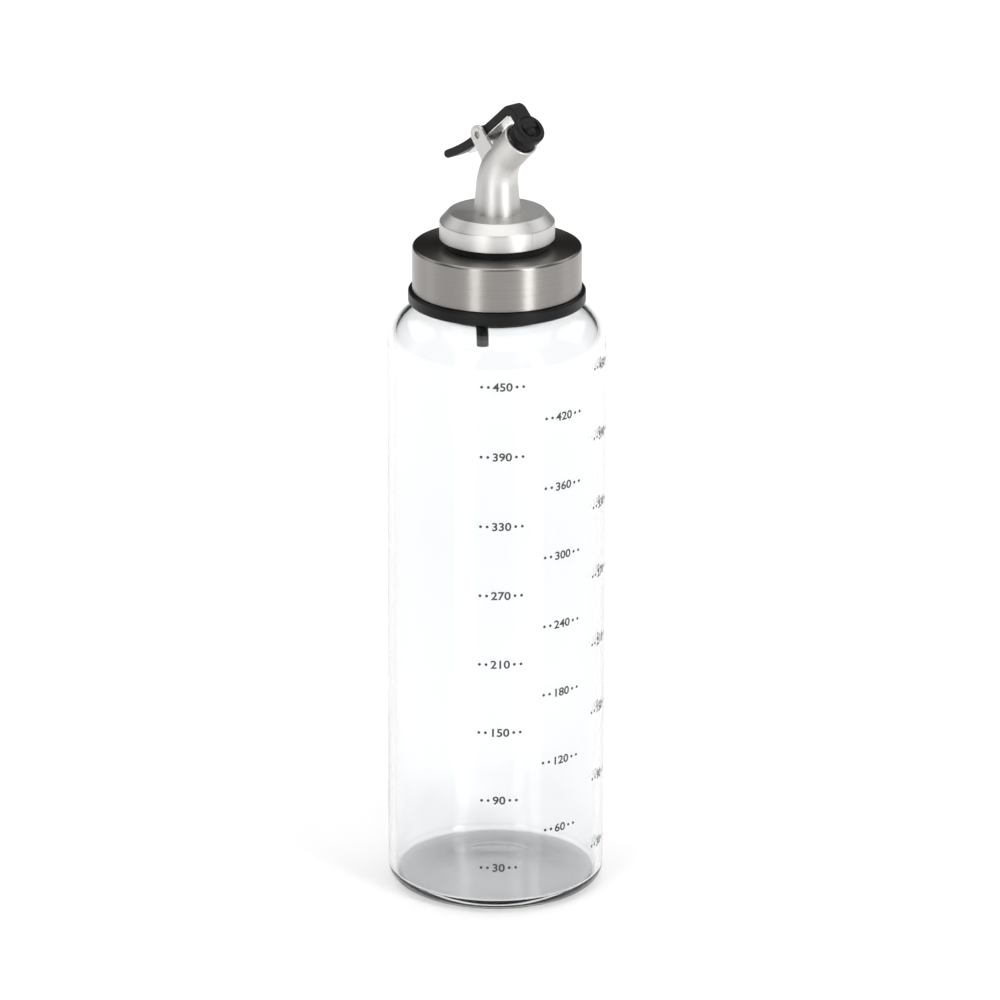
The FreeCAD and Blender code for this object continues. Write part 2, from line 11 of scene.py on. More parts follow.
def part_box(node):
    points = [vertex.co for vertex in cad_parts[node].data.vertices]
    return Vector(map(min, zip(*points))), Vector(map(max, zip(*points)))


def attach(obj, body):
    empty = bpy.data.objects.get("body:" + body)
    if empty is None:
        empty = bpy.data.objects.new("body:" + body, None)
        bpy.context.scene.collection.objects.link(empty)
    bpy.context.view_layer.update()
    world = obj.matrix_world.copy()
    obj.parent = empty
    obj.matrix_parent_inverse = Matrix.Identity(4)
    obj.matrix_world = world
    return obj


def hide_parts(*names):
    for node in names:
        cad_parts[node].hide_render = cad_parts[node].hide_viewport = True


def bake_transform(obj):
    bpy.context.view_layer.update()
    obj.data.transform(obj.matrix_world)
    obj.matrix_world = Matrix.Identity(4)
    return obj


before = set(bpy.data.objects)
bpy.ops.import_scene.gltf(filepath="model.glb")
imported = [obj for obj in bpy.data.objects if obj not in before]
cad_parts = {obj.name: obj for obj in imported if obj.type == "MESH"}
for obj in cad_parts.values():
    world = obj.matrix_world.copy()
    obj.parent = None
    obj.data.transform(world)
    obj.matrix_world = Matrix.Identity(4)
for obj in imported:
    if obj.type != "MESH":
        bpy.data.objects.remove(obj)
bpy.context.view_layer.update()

bl_info = {
    "name": "Oil Bottle with Lever Pourer",
    "version": (1, 0, 0),
    "blender": (4, 5, 0),
    "location": "3D View > Sidebar > Oil Bottle",
    "description": "Makes the visible pieces of a glass oil bottle over its CAD frame",
    "category": "Add Mesh",
}

GLASS_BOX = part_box("glass_bottle")
SHELL_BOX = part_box("cap_sleeve")
RING_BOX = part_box("cap_ring")
CORK_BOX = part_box("stopper_cork")
COLLAR_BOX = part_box("base_collar")
SPOUT_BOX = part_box("spout")
VENT_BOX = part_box("vent_tube")
PIN_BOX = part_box("pivot_pin")
LEVER_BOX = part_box("lever")
LEAF_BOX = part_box("lever_spring")

PIN_AT = (PIN_BOX[0] + PIN_BOX[1]) / 2
ON_PIN = Matrix.Translation(PIN_AT) @ Matrix.Rotation(pi / 2, 4, "X")  # puts a piece made on Z on the pin
PIN_R = (PIN_BOX[1].x - PIN_BOX[0].x) / 2
COLLAR_TOP = COLLAR_BOX[1].z
UP = Vector((0, 0, 1))
FIT = 0.00005  # gap between pieces that are pressed or glued together

# softboxes: name, bearing and height angle from the camera's side in degrees, distance, width and
# height in metres, power in watts
SOFTBOXES = (
    ("left softbox", -29, 20, 1.0, 0.24, 1.0, 3.2),
    ("right softbox", 43, 20, 1.0, 0.22, 1.0, 4.8),
    ("far left strip", -100, 15, 1.0, 0.30, 0.9, 0.4),
    ("far right strip", 106, 15, 1.0, 0.30, 0.9, 0.4),
    ("overhead softbox", 0, 72, 1.2, 2.2, 0.9, 2.9),
    ("rear softbox", 180, 52, 1.4, 0.6, 0.7, 2.2),
    ("rear left softbox", -125, 38, 1.3, 0.9, 0.6, 2.0),
    ("rear right softbox", 125, 38, 1.3, 0.9, 0.6, 2.4),
)

# printed columns: piece, bearing round from +X in degrees, volumes in millilitres
COLUMNS = (
    ("scale_left", -41.1, range(30, 451, 60)),
    ("scale_middle", -6.4, range(60, 421, 60)),
    ("scale_right", 29.5, range(30, 451, 60)),
)


# --- sizes and colours that a user may change -------------------------------------------------


def length(name, description, default):
    return FloatProperty(name=name, description=description, default=default, min=0.0, unit="LENGTH")


def number(name, description, default):
    return FloatProperty(name=name, description=description, default=default, min=0.0, precision=6)


def count(name, description, default):
    return IntProperty(name=name, description=description, default=default, min=1)


def turn(name, description, default):
    return FloatProperty(name=name, description=description, default=radians(default), subtype="ANGLE")


def colour(name, description, default):
    return FloatVectorProperty(
        name=name, description=description, default=default, size=3, min=0.0, max=1.0, subtype="COLOR"
    )


class BottleSizes(bpy.types.PropertyGroup):
    """Sizes of the glass and its printed scale"""

    wall: length("Wall", "Thickness of the glass", 0.002)
    foot_glass: length("Foot glass", "Thickness of the floor", 0.0034)
    push_up: length("Push-up", "Hollow under the foot", 0.002)
    heel_bend: length("Heel bend", "Outer radius at the foot", 0.005)
    heel_in: length("Inner heel", "Inner radius at the foot", 0.0012)
    foot_ring: length("Foot ring", "Flat width that the bottle stands on", 0.0045)
    shoulder_bend: length("Shoulder bend", "Outer radius of the shoulder", 0.0124)
    shoulder_z: length("Shoulder height", "Where the straight wall ends", 0.1667)
    neck_r: length("Neck radius", "Outside of the neck", 0.0214)
    neck_wall: length("Neck wall", "Thickness of the neck", 0.0029)
    lip_bend: length("Lip bend", "Rounding of the rim", 0.0009)
    thread_pitch: length("Thread pitch", "Rise of the thread in one turn", 0.004)
    thread_turns: number("Thread turns", "Turns of the neck's thread", 1.4)
    thread_depth: length("Thread depth", "How far the ridge stands out", 0.00115)
    thread_base: length("Thread base", "Half the ridge's width at its root", 0.00095)
    thread_crest: length("Thread crest", "Half the ridge's width at its crest", 0.0004)
    ink_lift: length("Ink lift", "How far the print stands off the glass", 0.00003)
    digit_h: length("Digit height", "Height of the printed numbers", 0.00252)
    stretch: number("Stretch", "Widening of the digits", 1.12)
    dot_r: length("Dot radius", "Radius of the printed dots", 0.00044)
    dot_gap: length("Dot gap", "Number to the middle of the first dot", 0.00128)
    dot_pitch: length("Dot pitch", "Distance between two dots", 0.00194)
    lowest_mark: length("Lowest mark", "Height of the 30 ml mark", 0.0147)
    print_lean: turn("Print lean", "Turn of the print over 100 mm of height", 1.1)
    rise_per_ml: number("Rise per ml", "Height of one millilitre, in metres", 0.000354)


class PourerSizes(bpy.types.PropertyGroup):
    """Sizes of the cap, pourer and lever"""

    shell_wall: length("Shell wall", "Thickness of the steel shell", 0.0005)
    shell_edge: length("Shell edge", "Rounding of the shell's upper edge", 0.0008)
    hole_r: length("Cap hole", "Radius of the hole in the cap", 0.01405)
    ring_bend: length("Ring bend", "Rounding of the black ring", 0.0006)
    cork_bore_r: length("Cork bore", "Radius of the hole through the cork", 0.01176)
    cork_core_r: length("Cork core", "Radius between the cork's ribs", 0.0132)
    cork_ribs: count("Cork ribs", "Ribs round the cork", 3)
    cork_shoulder: length("Cork shoulder", "Full width below the shell's top", 0.003)
    cork_bend: length("Cork bend", "Rounding of the cork's flange", 0.0005)
    skirt_gap: length("Skirt gap", "Shell's top to the collar's skirt", 0.0022)
    skirt_h: length("Skirt height", "Straight part of the skirt", 0.0051)
    skirt_fit: length("Skirt fit", "Gap round the cork's flange", 0.0003)
    collar_plate: length("Collar plate", "Metal over the cork's flange", 0.005)
    collar_top_r: length("Collar top", "Radius of the flat top", 0.0142)
    socket_r: length("Spout socket", "Radius of the hole for the spout", 0.00605)
    stem_r: length("Stem radius", "Outside of the stem in the cork", 0.0117)
    stem_in: length("Stem inside", "Inside radius of the stem", 0.011)
    vent_wall: length("Vent wall", "Thickness of the vent tube", 0.0005)
    spout_rise: length("Spout rise", "Straight part above the collar", 0.0078)
    spout_bend: length("Spout bend", "Radius of the spout's centre-line", 0.0141)
    spout_nose: length("Spout nose", "Straight part behind the mouth", 0.0086)
    spout_tilt: turn("Spout tilt", "Turn from upright to the mouth", 45)
    foot_wall: length("Foot wall", "Thickness of the spout at the collar", 0.00185)
    waist_wall: length("Waist wall", "Thickness at the end of the bend", 0.00045)
    mouth_wall: length("Mouth wall", "Thickness at the mouth", 0.0008)
    bore_foot_r: length("Bore foot", "Inside radius at the collar", 0.005)
    bore_mouth_r: length("Bore mouth", "Inside radius at the mouth", 0.0045)
    spigot_wall: length("Spigot wall", "Thickness of the end in the collar", 0.001)
    spigot_h: length("Spigot length", "How far the spout reaches into the collar", 0.0039)
    ear_r: length("Ear radius", "Rounding of the ears about the pin", 0.00275)
    ear_wall: length("Ear wall", "Thickness of one ear", 0.0012)
    ear_spread: length("Ear spread", "Half the width over both ears", 0.004)
    ear_reach: length("Ear reach", "Length of an ear's straight sides", 0.0105)
    ear_front: turn("Ear front", "Fall of the ear's front side", 45)
    ear_back: turn("Ear back", "Fall of the ear's back side", 53)
    lever_w: length("Lever width", "Width of the arm and tail", 0.0052)
    lever_t: length("Lever thickness", "Thickness of the arm", 0.00265)
    lever_slope: turn("Lever slope", "Rise of the arm", 40.7)
    head_gap: length("Head gap", "Mouth's rim to the back of the head", 0.0031)
    head_r: length("Head radius", "Outside radius of the round head", 0.00465)
    recess_r: length("Recess radius", "Hollow in the head's face", 0.0031)
    recess: length("Recess depth", "Depth of the hollow", 0.0013)
    hub_r: length("Hub radius", "Outside of the lever's hub", 0.0023)
    hub_bore_r: length("Hub bore", "Radius of the hole for the pin", 0.00105)
    shank_r: length("Shank radius", "Plug's shank through the head", 0.0016)
    tail: length("Tail length", "Pin to the tail's end", 0.0173)
    tail_bend: length("Tail bend", "Radius of the tail's middle line", 0.058)
    tail_tip: length("Tail tip", "Half the thickness at the tail's end", 0.00125)
    elbow_bend: length("Elbow bend", "Rounding of the elbow", 0.003)
    plug_r: length("Plug radius", "Outside radius of the plug's ribs", 0.0042)
    plug_core_r: length("Plug core", "Radius between the plug's ribs", 0.0036)
    plug_ribs: count("Plug ribs", "Ribs round the plug", 3)
    plug_bend: length("Plug bend", "Rounding of one rib", 0.00034)
    plug_nose: length("Plug nose", "Depth inside the mouth", 0.0011)
    button_r: length("Button radius", "Plug's button in the head", 0.002)
    button_h: length("Button height", "Dome of the button", 0.0008)
    leaf_t: length("Leaf thickness", "Thickness of the spring", 0.0004)
    leaf_w: length("Leaf width", "Width of the spring under the arm", 0.005)
    leaf_tail: length("Leaf tail", "Run of the spring behind the pin", 0.0086)
    leaf_drop: length("Leaf drop", "Step of the tail's run below the arm's", 0.0002)
    tongue_w: length("Tongue width", "Width of the spring's tongue", 0.0026)
    tongue_bow: length("Tongue bow", "How far the tongue bulges to the rear", 0.0016)


class Finishes(bpy.types.PropertyGroup):
    """Colours of the finishes"""

    steel: colour("Brushed steel", "Cap shell", (0.30, 0.288, 0.274))
    satin: colour("Satin silver", "Collar and spout", (0.64, 0.635, 0.62))
    charcoal: colour("Charcoal plastic", "Lever", (0.011, 0.010, 0.0103))
    black: colour("Black rubber", "Cork and plug", (0.006, 0.006, 0.006))
    ink: colour("Scale ink", "Printed numbers and dots", (0.035, 0.036, 0.036))
    # pin colour is darkened so that its end reads dark in the ear's hole: painted shade
    pin: colour("Pin steel with painted shade", "Pin through the ears", (0.34, 0.335, 0.33))
    spring: colour("Spring steel", "Strip and tongue", (0.72, 0.72, 0.71))
    liner: colour("Liner", "Seal on the rim", (0.62, 0.62, 0.58))
    glass: colour("Glass", "Body of the bottle", (0.945, 0.958, 0.965))


def settings(scene):
    return scene.oil_bottle_sizes, scene.oil_pourer_sizes, scene.oil_finishes


# --- materials --------------------------------------------------------------------------------


def new_material(name):
    """A material with nodes, its node tree and its principled shader."""
    made = bpy.data.materials.new(name)
    made.use_nodes = True
    return made, made.node_tree, made.node_tree.nodes["Principled BSDF"]


def node(tree, kind, **settings):
    made = tree.nodes.new(kind)
    for key, value in settings.items():
        if key in made.inputs:
            made.inputs[key].default_value = value
        else:
            setattr(made, key, value)
    return made


def math_node(tree, operation, a, b=None):
    made = tree.nodes.new("ShaderNodeMath")
    made.operation = operation
    for socket, value in zip(made.inputs, (a, b)):
        if isinstance(value, (int, float)):
            socket.default_value = value
        elif value is not None:
            tree.links.new(value, socket)
    return made.outputs[0]


def feed(tree, target, inputs):
    """Links or sets a node's inputs by name."""
    for key, value in inputs.items():
        if isinstance(value, bpy.types.NodeSocket):
            tree.links.new(value, target.inputs[key])
        else:
            target.inputs[key].default_value = value


def object_point(tree):
    return node(tree, "ShaderNodeTexCoord").outputs["Object"]


def stretched_noise(tree, vector, scale, detail=3.0, roughness=0.55):
    made = node(tree, "ShaderNodeTexNoise", Scale=scale, Detail=detail, Roughness=roughness)
    tree.links.new(vector, made.inputs["Vector"])
    return made.outputs["Fac"]


def mapped(tree, vector, scale):
    made = node(tree, "ShaderNodeMapping", Scale=scale)
    tree.links.new(vector, made.inputs["Vector"])
    return made.outputs["Vector"]


def ramp(tree, value, low, high, start=0.0, end=1.0):
    """Value spread from start..end onto low..high."""
    made = node(tree, "ShaderNodeMapRange")
    feed(tree, made, {"Value": value, "From Min": start, "From Max": end, "To Min": low, "To Max": high})
    return made.outputs["Result"]


def tinted(tree, value, rgb, first, last, start, end):
    """Colour that runs from one shade to another while a value runs from start to end."""
    share = ramp(tree, value, 0, 1, start, end)
    made = node(tree, "ShaderNodeMix", data_type="RGBA")
    made.inputs[6].default_value = (*shade(rgb, first), 1)
    made.inputs[7].default_value = (*shade(rgb, last), 1)
    tree.links.new(share, made.inputs[0])
    return made.outputs[2]


def bump(tree, height, strength, distance):
    made = node(tree, "ShaderNodeBump", Strength=strength, Distance=distance)
    tree.links.new(height, made.inputs["Height"])
    return made.outputs["Normal"]


def shade(rgb, factor):
    return tuple(min(1.0, c * factor) for c in rgb)


def brushed_steel(name, rgb):
    """Steel brushed round the bottle's axis: lines round the side and rings on the top."""
    made, tree, bsdf = new_material(name)
    split = node(tree, "ShaderNodeSeparateXYZ")
    tree.links.new(object_point(tree), split.inputs[0])
    x, y, z = split.outputs
    radius = math_node(tree, "SQRT", math_node(tree, "ADD", math_node(tree, "POWER", x, 2.0),
                                               math_node(tree, "POWER", y, 2.0)))
    across = math_node(tree, "ADD", radius, z)
    layers = []
    for along_scale, across_scale, detail in ((30.0, 9000.0, 4.0), (18.0, 2600.0, 2.0)):
        lines = node(tree, "ShaderNodeCombineXYZ")
        scales = (along_scale, along_scale, across_scale)
        for socket, value, scale in zip(lines.inputs, (x, y, across), scales):
            tree.links.new(math_node(tree, "MULTIPLY", value, scale), socket)
        layers.append(stretched_noise(tree, lines.outputs[0], 1.0, detail))
    fine, broad = layers
    both = math_node(tree, "ADD", math_node(tree, "MULTIPLY", fine, 0.65),
                     math_node(tree, "MULTIPLY", broad, 0.35))
    tint = tinted(tree, both, rgb, 0.90, 1.08, 0.3, 0.7)
    gloss = ramp(tree, both, 0.26, 0.36, 0.3, 0.7)
    relief = bump(tree, fine, 0.15, 0.00001)
    tangent = node(tree, "ShaderNodeTangent", direction_type="RADIAL", axis="Z")
    feed(tree, bsdf, {"Base Color": tint, "Roughness": gloss, "Normal": relief, "Metallic": 1.0,
                      "Anisotropic": 0.75, "Anisotropic Rotation": 0.25, "Tangent": tangent.outputs[0]})
    return made


def satin_metal(name, rgb, roughness=0.30):
    """Fine bead-blasted metal with a soft grain."""
    made, tree, bsdf = new_material(name)
    point = object_point(tree)
    grain = stretched_noise(tree, point, 5200.0, 2.0)
    cloud = stretched_noise(tree, point, 260.0, 3.0)
    tint = tinted(tree, cloud, rgb, 0.98, 1.02, 0.35, 0.65)
    gloss = ramp(tree, cloud, roughness - 0.02, roughness + 0.02, 0.35, 0.65)
    relief = bump(tree, grain, 0.08, 0.00001)
    feed(tree, bsdf, {"Base Color": tint, "Roughness": gloss, "Normal": relief, "Metallic": 1.0})
    return made


def moulded(name, rgb, roughness, grain_scale, grain_depth, sheen=0.0):
    """Moulded plastic or rubber with a fine grain and slight wear in its gloss."""
    made, tree, bsdf = new_material(name)
    point = object_point(tree)
    grain = stretched_noise(tree, point, grain_scale, 3.0)
    cloud = stretched_noise(tree, point, 180.0, 3.0)
    tint = tinted(tree, cloud, rgb, 0.85, 1.2, 0.3, 0.7)
    gloss = ramp(tree, cloud, roughness - 0.05, roughness + 0.07, 0.3, 0.7)
    relief = bump(tree, grain, 0.35, grain_depth)
    feed(tree, bsdf, {"Base Color": tint, "Roughness": gloss, "Normal": relief, "Sheen Weight": sheen,
                      "Specular IOR Level": 0.16})
    return made


def clear_glass(name, rgb):
    made, tree, bsdf = new_material(name)
    ripple = stretched_noise(tree, mapped(tree, object_point(tree), (1.0, 1.0, 0.35)), 70.0, 2.0)
    feed(tree, bsdf, {"Normal": bump(tree, ripple, 0.10, 0.0004), "Base Color": (*rgb, 1),
                      "Roughness": 0.0, "IOR": 1.36, "Transmission Weight": 1.0})
    return made


def printed_ink(name, rgb):
    made, tree, bsdf = new_material(name)
    speckle = stretched_noise(tree, object_point(tree), 9000.0, 2.0)
    tint = tinted(tree, speckle, rgb, 1.9, 0.8, 0.35, 0.6)
    feed(tree, bsdf, {"Base Color": tint, "Roughness": 0.45})
    return made


# --- mesh helpers -----------------------------------------------------------------------------


def arc(r, z, radius, start, end, steps=8):
    """(r, z) points round a bend, from one angle to another in degrees."""
    made = []
    for i in range(steps + 1):
        a = radians(start + (end - start) * i / steps)
        made.append((r + radius * cos(a), z + radius * sin(a)))
    return made


def shell_of(profile, segments, closed=True):
    """bmesh turned about Z from (r, z) points."""
    bm = bmesh.new()
    verts = [bm.verts.new((r, 0, z)) for r, z in profile]
    pairs = list(zip(verts, verts[1:])) + ([(verts[-1], verts[0])] if closed else [])
    edges = [bm.edges.new(pair) for pair in pairs]
    bmesh.ops.spin(bm, geom=verts + edges, cent=(0, 0, 0), axis=(0, 0, 1), angle=2 * pi, steps=segments,
                   use_merge=True, use_duplicate=False)
    bmesh.ops.remove_doubles(bm, verts=bm.verts, dist=1e-6)
    bmesh.ops.recalc_face_normals(bm, faces=bm.faces)
    return bm


def soften(bm, width, segments=2, sharper_than=35.0):
    """Rounds every edge that is sharper than an angle."""
    sharp = [e for e in bm.edges if e.is_manifold and e.calc_face_angle(0.0) > radians(sharper_than)]
    bmesh.ops.bevel(bm, geom=sharp, offset=width, offset_type="OFFSET", segments=segments, profile=0.5,
                    affect="EDGES", clamp_overlap=True, material=-1)


def grow(bm, faces, shift, keep=False):
    """Extrudes faces and moves the new side."""
    grown = bmesh.ops.extrude_face_region(bm, geom=faces, use_keep_orig=keep)["geom"]
    moved = [g for g in grown if isinstance(g, bmesh.types.BMVert)]
    bmesh.ops.translate(bm, verts=moved, vec=shift)
    bmesh.ops.recalc_face_normals(bm, faces=bm.faces)


def wind(bm, face, angle, steps, rise=0.0):
    """Sweeps a face round Z, rising by a height in each step."""
    bmesh.ops.spin(bm, geom=[face, *face.edges, *face.verts], cent=(0, 0, 0), axis=(0, 0, 1),
                   dvec=(0, 0, rise), angle=angle, steps=steps, use_merge=False, use_duplicate=False)
    bmesh.ops.recalc_face_normals(bm, faces=bm.faces)


def placed(name, data):
    """A new object in the scene."""
    made = bpy.data.objects.new(name, data)
    bpy.context.scene.collection.objects.link(made)
    return made


def smooth_piece(name, bm, material, sharp):
    """Turns a bmesh into an object, smooth apart from edges sharper than an angle in degrees."""
    for face in bm.faces:
        face.smooth = True
    for edge in bm.edges:
        edge.smooth = not edge.is_manifold or edge.calc_face_angle(0.0) < radians(sharp)
    mesh = bpy.data.meshes.new(name)
    bm.to_mesh(mesh)
    bm.free()
    mesh.materials.append(material)
    return placed(name, mesh)


def finished(name, bm, material, body, replaces=(), sharp=38.0, place=None):
    """Moves a bmesh to its place and makes it a piece that rides on a body."""
    if place is not None:
        bmesh.ops.transform(bm, matrix=place, verts=bm.verts)
    made = smooth_piece(name, bm, material, sharp)
    if replaces:
        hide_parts(*replaces)
    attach(made, body)
    # large faces set the shading of the small ones beside them
    made.modifiers.new("Face weights", "WEIGHTED_NORMAL").keep_sharp = True


def dress(node_name, material):
    """Gives a CAD node a finish of its own."""
    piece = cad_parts[node_name]
    piece.data.materials.clear()
    piece.data.materials.append(material)


def in_plane(angle):
    """Unit vector in the XZ plane, angle in radians up from +X."""
    return Vector((cos(angle), 0, sin(angle)))


def facing(at, axis):
    """Matrix that puts a piece made on Z at a point, with +Z along an axis in the XZ plane."""
    side = Vector((0, 1, 0))
    front = side.cross(axis)
    turned = Matrix((front, side, axis)).transposed().to_4x4()
    return Matrix.Translation(at) @ turned


# --- pieces -----------------------------------------------------------------------------------


class MakeGlass(bpy.types.Operator):
    """Blow the bottle: foot, wall, shoulder, neck and thread"""

    bl_idname = "oil_bottle.glass"
    bl_label = "Glass Bottle"

    def execute(self, context):
        s, _, finish = settings(context.scene)
        body_r, rim_z = GLASS_BOX[1].x - s.ink_lift, GLASS_BOX[1].z
        in_r, heel_in = body_r - s.wall, s.heel_in
        mid_r, bend_in = body_r - s.shoulder_bend, s.shoulder_bend - s.wall
        bore_r = s.neck_r - s.neck_wall
        hollow_r = body_r - s.heel_bend - s.foot_ring
        turn_out = degrees(acos((s.neck_r - mid_r) / s.shoulder_bend))
        top_in = s.shoulder_z + bend_in
        profile = [(hollow_r * reach, s.push_up * rise)
                   for reach, rise in ((0.0, 1.0), (0.35, 0.87), (0.7, 0.5), (1.0, 0.0))]
        profile += arc(body_r - s.heel_bend, s.heel_bend, s.heel_bend, -90, 0, 12)
        profile += [(body_r, s.heel_bend + (s.shoulder_z - s.heel_bend) * i / 5) for i in range(1, 5)]
        profile += arc(mid_r, s.shoulder_z, s.shoulder_bend, 0, turn_out, 20)
        profile += arc(s.neck_r - s.lip_bend, rim_z - s.lip_bend, s.lip_bend, 0, 90, 6)
        profile += arc(bore_r + s.lip_bend, rim_z - s.lip_bend, s.lip_bend, 90, 180, 6)
        profile += [(bore_r, top_in + 0.0008), (bore_r + 0.0006, top_in)]
        profile += arc(mid_r, s.shoulder_z, bend_in, 90, 0, 20)
        profile += [(in_r, s.heel_bend + (s.shoulder_z - s.heel_bend) * i / 5) for i in range(4, 0, -1)]
        profile += arc(in_r - heel_in, s.foot_glass + heel_in, heel_in, 0, -90, 8)
        profile += [(in_r * reach, s.foot_glass + s.push_up * rise)
                    for reach, rise in ((0.6, 0.6), (0.3, 0.9), (0.0, 1.0))]
        bm = shell_of(profile, 192, closed=False)
        glass = clear_glass("Bottle glass", finish.glass)
        finished("bottle_glass", bm, glass, "bottle", ["glass_bottle"])
        finished("neck_thread", self.thread(s, rim_z), glass, "bottle")
        return {"FINISHED"}

    def thread(self, s, rim_z):
        """Ridge that winds up the neck."""
        rise = s.thread_pitch * s.thread_turns
        below_lip, sunk, steps = 0.0004, 0.0002, 72
        start = rim_z - s.lip_bend - s.thread_base - below_lip - rise
        root, crest = s.neck_r - sunk, s.neck_r + s.thread_depth
        corners = [(root, -s.thread_base), (crest, -s.thread_crest), (crest, s.thread_crest),
                   (root, s.thread_base)]
        bm = bmesh.new()
        face = bm.faces.new([bm.verts.new((r, 0, start + z)) for r, z in corners])
        wind(bm, face, 2 * pi * s.thread_turns, steps, rise / steps)
        soften(bm, 0.00015, 2)
        return bm


class PrintScale(bpy.types.Operator):
    """Print the three columns of volume marks on the glass"""

    bl_idname = "oil_bottle.scale"
    bl_label = "Volume Scale"

    def execute(self, context):
        s, _, finish = settings(context.scene)
        ink = printed_ink("Scale ink", finish.ink)
        for name, bearing, volumes in COLUMNS:
            bm = bmesh.new()
            for volume in volumes:
                self.mark(bm, str(volume), s.lowest_mark + (volume - 30) * s.rise_per_ml, s)
            self.thicken(bm, s.ink_lift)
            self.wrap(bm, GLASS_BOX[1].x, radians(bearing), s.print_lean / 0.1)
            finished(name, bm, ink, "bottle")
        return {"FINISHED"}

    def mark(self, bm, words, z, s):
        """One number with two dots on each side, laid flat: x is along the wall and y is up."""
        curve = bpy.data.curves.new("digits", "FONT")
        curve.body = words
        curve.align_x, curve.align_y = "CENTER", "CENTER"
        figure_share = 0.729  # height of a digit as a share of the type size
        curve.size = s.digit_h / figure_share
        curve.resolution_u = 4
        curve.offset = s.digit_h * 0.03
        holder = placed("digits", curve)
        bpy.context.view_layer.update()
        mesh = bpy.data.meshes.new_from_object(holder)
        half = max(v.co.x for v in mesh.vertices)
        low = min(v.co.y for v in mesh.vertices)
        high = max(v.co.y for v in mesh.vertices)
        rise = Matrix.Translation((0, z - (low + high) / 2, 0))
        mesh.transform(rise @ Matrix.Diagonal((s.stretch, 1, 1, 1)))
        half *= s.stretch
        bm.from_mesh(mesh)
        bpy.data.objects.remove(holder)
        bpy.data.curves.remove(curve)
        bpy.data.meshes.remove(mesh)
        for side in (-1, 1):
            for k in (0, 1):
                x = side * (half + s.dot_gap + k * s.dot_pitch)
                bmesh.ops.create_circle(bm, cap_ends=True, segments=20, radius=s.dot_r,
                                        matrix=Matrix.Translation((x, z, 0)))

    def thicken(self, bm, depth):
        """Gives the flat print a back, so that each digit and dot is a closed layer of ink."""
        grow(bm, bm.faces[:], (0, 0, -depth), keep=True)

    def wrap(self, bm, radius, bearing, lean):
        """Rolls the print round the glass, leaning a little as it rises."""
        bmesh.ops.triangulate(bm, faces=bm.faces)
        middle = 0.05
        for vert in bm.verts:
            angle = bearing + vert.co.x / radius + (vert.co.y - middle) * lean
            skin = radius + vert.co.z
            vert.co = (skin * cos(angle), skin * sin(angle), vert.co.y)


class MakeCap(bpy.types.Operator):
    """Press the steel shell and mould the ring, insert and seal of the screw cap"""

    bl_idname = "oil_bottle.cap"
    bl_label = "Screw Cap"

    def execute(self, context):
        _, p, finish = settings(context.scene)
        steel = brushed_steel("Brushed steel", finish.steel)
        plastic = moulded("Black cap plastic", finish.black, 0.36, 2600.0, 0.00001)
        out_r, low, top = SHELL_BOX[1].x, SHELL_BOX[0].z, SHELL_BOX[1].z
        edge_r, edge_z, wall = out_r - p.shell_edge, top - p.shell_edge, p.shell_wall
        hole = p.hole_r + wall
        profile = [(out_r - wall, low)]
        profile += arc(out_r - wall / 2, low + wall / 2, wall / 2, -90, 0, 4)
        profile += arc(edge_r, edge_z, p.shell_edge, 0, 90, 8)
        profile += [(out_r * 0.8, top), (hole, top), (hole, top - wall)]
        profile += arc(edge_r, edge_z, p.shell_edge - wall, 90, 0, 6)
        bm = shell_of(profile, 160)
        finished("steel_shell", bm, steel, "cap", ["cap_sleeve"])

        ring_r, ring_low, ring_top = RING_BOX[1].x, RING_BOX[0].z, RING_BOX[1].z
        bend, ring_in = p.ring_bend, out_r - wall - 2 * FIT
        profile = [(ring_in, ring_low)]
        profile += arc(ring_r - bend, ring_low + bend, bend, -90, 0, 5)
        profile += arc(ring_r - bend, ring_top - bend, bend, 0, 90, 5)
        profile += [(ring_in, ring_top)]
        finished("black_ring", shell_of(profile, 160), plastic, "cap", ["cap_ring"])
        dress("cap_insert", plastic)
        dress("neck_seal", moulded("Liner", finish.liner, 0.5, 1500.0, 0.00001))
        return {"FINISHED"}


class MakeCork(bpy.types.Operator):
    """Mould the ribbed rubber cork with its flange"""

    bl_idname = "oil_bottle.cork"
    bl_label = "Stopper Cork"

    def execute(self, context):
        _, p, finish = settings(context.scene)
        rubber = moulded("Black rubber", finish.black, 0.5, 1800.0, 0.00002, 0.15)
        flange_r, low, top = CORK_BOX[1].x, CORK_BOX[0].z, CORK_BOX[1].z
        flange_z = SHELL_BOX[1].z + FIT
        rib_r, core_r, bore_r, bend = p.hole_r - FIT, p.cork_core_r, p.cork_bore_r, p.cork_bend
        hole_end = SHELL_BOX[1].z - p.cork_shoulder
        profile = [(bore_r, low), (core_r - 0.0004, low)]
        pitch = (hole_end - low) / p.cork_ribs
        rib = ((core_r, 0.0002), (rib_r, 0.0013), (rib_r, 0.0016), (core_r, 0.0017))
        for i in range(p.cork_ribs):
            profile += [(r, low + i * pitch + z) for r, z in rib]
        profile += [(core_r, hole_end), (rib_r, hole_end + 0.0003), (rib_r, flange_z)]
        profile += arc(flange_r - bend, flange_z + bend, bend, -90, 0, 5)
        profile += arc(flange_r - bend, top - bend, bend, 0, 90, 5)
        profile += [(bore_r, top)]
        finished("rubber_cork", shell_of(profile, 128), rubber, "cork", ["stopper_cork"])
        return {"FINISHED"}


